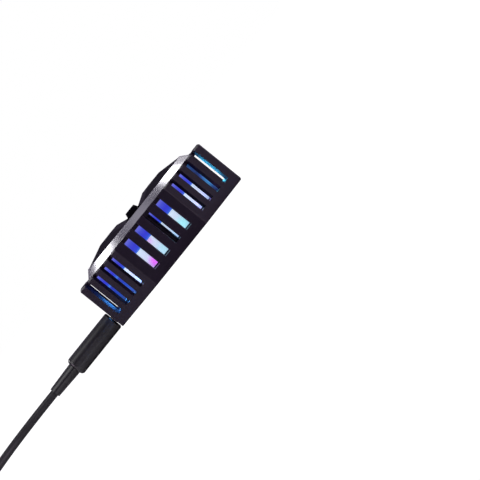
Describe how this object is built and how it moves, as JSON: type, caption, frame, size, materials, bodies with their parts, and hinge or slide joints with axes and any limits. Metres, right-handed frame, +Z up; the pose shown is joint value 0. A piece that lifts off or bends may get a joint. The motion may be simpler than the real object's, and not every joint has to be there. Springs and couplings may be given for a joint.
{
  "type": "phone cooling fan",
  "caption": "Magnetic thermoelectric cooling fan for a phone: slotted octagonal body, sloping metal trim ring, faceted fan guard, lit heat sink and a plug-in lead.",
  "frame": {"origin": "centre of the cold face that rests on the phone, measured without the lead", "axes": "+Z up through the fan, away from the phone; the lead leaves along -X"},
  "size_m": [0.1798, 0.0813, 0.0209],
  "materials": {
    "body_plastic": "fine satin moulded black with a faint violet cast",
    "guard_plastic": "smooth faceted black, semi-gloss",
    "trim_metal": "turned, ring-brushed silver",
    "sink_aluminium": "mill-finish fins lit by the lamps",
    "light_diffuser": "frosted translucent, lit blue",
    "lamp_white": "lit lamp domes",
    "frame_plastic": "plain moulded black",
    "rotor_plastic": "smooth moulded charcoal",
    "cold_aluminium": "fine milled",
    "pad_silicone": "soft matt silicone",
    "module_ceramic": "white alumina plates with dark pellets",
    "gasket_rubber": "matt moulded rubber",
    "magnet_metal": "nickel-plated magnet",
    "plated_steel": "zinc-plated sheet",
    "core_steel": "stacked laminations",
    "screw_steel": "plain steel",
    "winding_copper": "enamelled copper wire",
    "bearing_bronze": "sintered bronze",
    "board_laminate": "dark solder mask",
    "chip_black": "moulded package",
    "plug_metal": "nickel-plated pressed shell",
    "tongue_plastic": "black contact carrier",
    "lead_rubber": "soft-touch moulded black",
    "cord_jacket": "smooth matt jacket",
    "tie_fabric": "woven hook-and-loop strap"
  },
  "bodies": {
    "cooler": {"housing": "body_plastic", "magnet_cover": "body_plastic", "magnets": "magnet_metal", "backing_ring": "plated_steel", "thermal_pad": "pad_silicone", "cold_plate": "cold_aluminium", "cooling_module": "module_ceramic", "module_gasket": "gasket_rubber", "heat_sink": "sink_aluminium", "clamp_screws": "screw_steel", "main_board": "board_laminate", "lamps": "lamp_white", "power_chips": "chip_black", "port_shell": "plug_metal", "port_tongue": "tongue_plastic", "fan_frame": "frame_plastic", "bearing_sleeve": "bearing_bronze", "stator_core": "core_steel", "stator_windings": "winding_copper", "light_ring": "light_diffuser", "front_plate": "body_plastic", "post_screws": "screw_steel", "trim_ring": "trim_metal", "fan_guard": "guard_plastic", "guard_cap": "guard_plastic"},
    "fan": {"rotor": "rotor_plastic", "rotor_yoke": "plated_steel", "rotor_magnet": "magnet_metal", "shaft": "screw_steel"},
    "lead": {"plug_shell": "plug_metal", "plug_grip": "lead_rubber", "plug_relief": "lead_rubber", "cord_run": "cord_jacket", "cord_coil": "cord_jacket", "cord_tail": "cord_jacket", "cord_tie": "tie_fabric", "far_relief": "lead_rubber", "far_grip": "lead_rubber", "far_shell": "plug_metal", "far_tongue": "tongue_plastic"}
  },
  "joints": [
    {"name": "fan_spin", "type": "hinge", "parent": "cooler", "child": "fan", "pos_m": [0, 0, 0.0135], "axis": [0, 0, 1], "continuous": true},
    {"name": "plug_pull", "type": "slide", "parent": "cooler", "child": "lead", "axis": [-1, 0, 0], "range_m": [0, 0.008]}
  ]
}
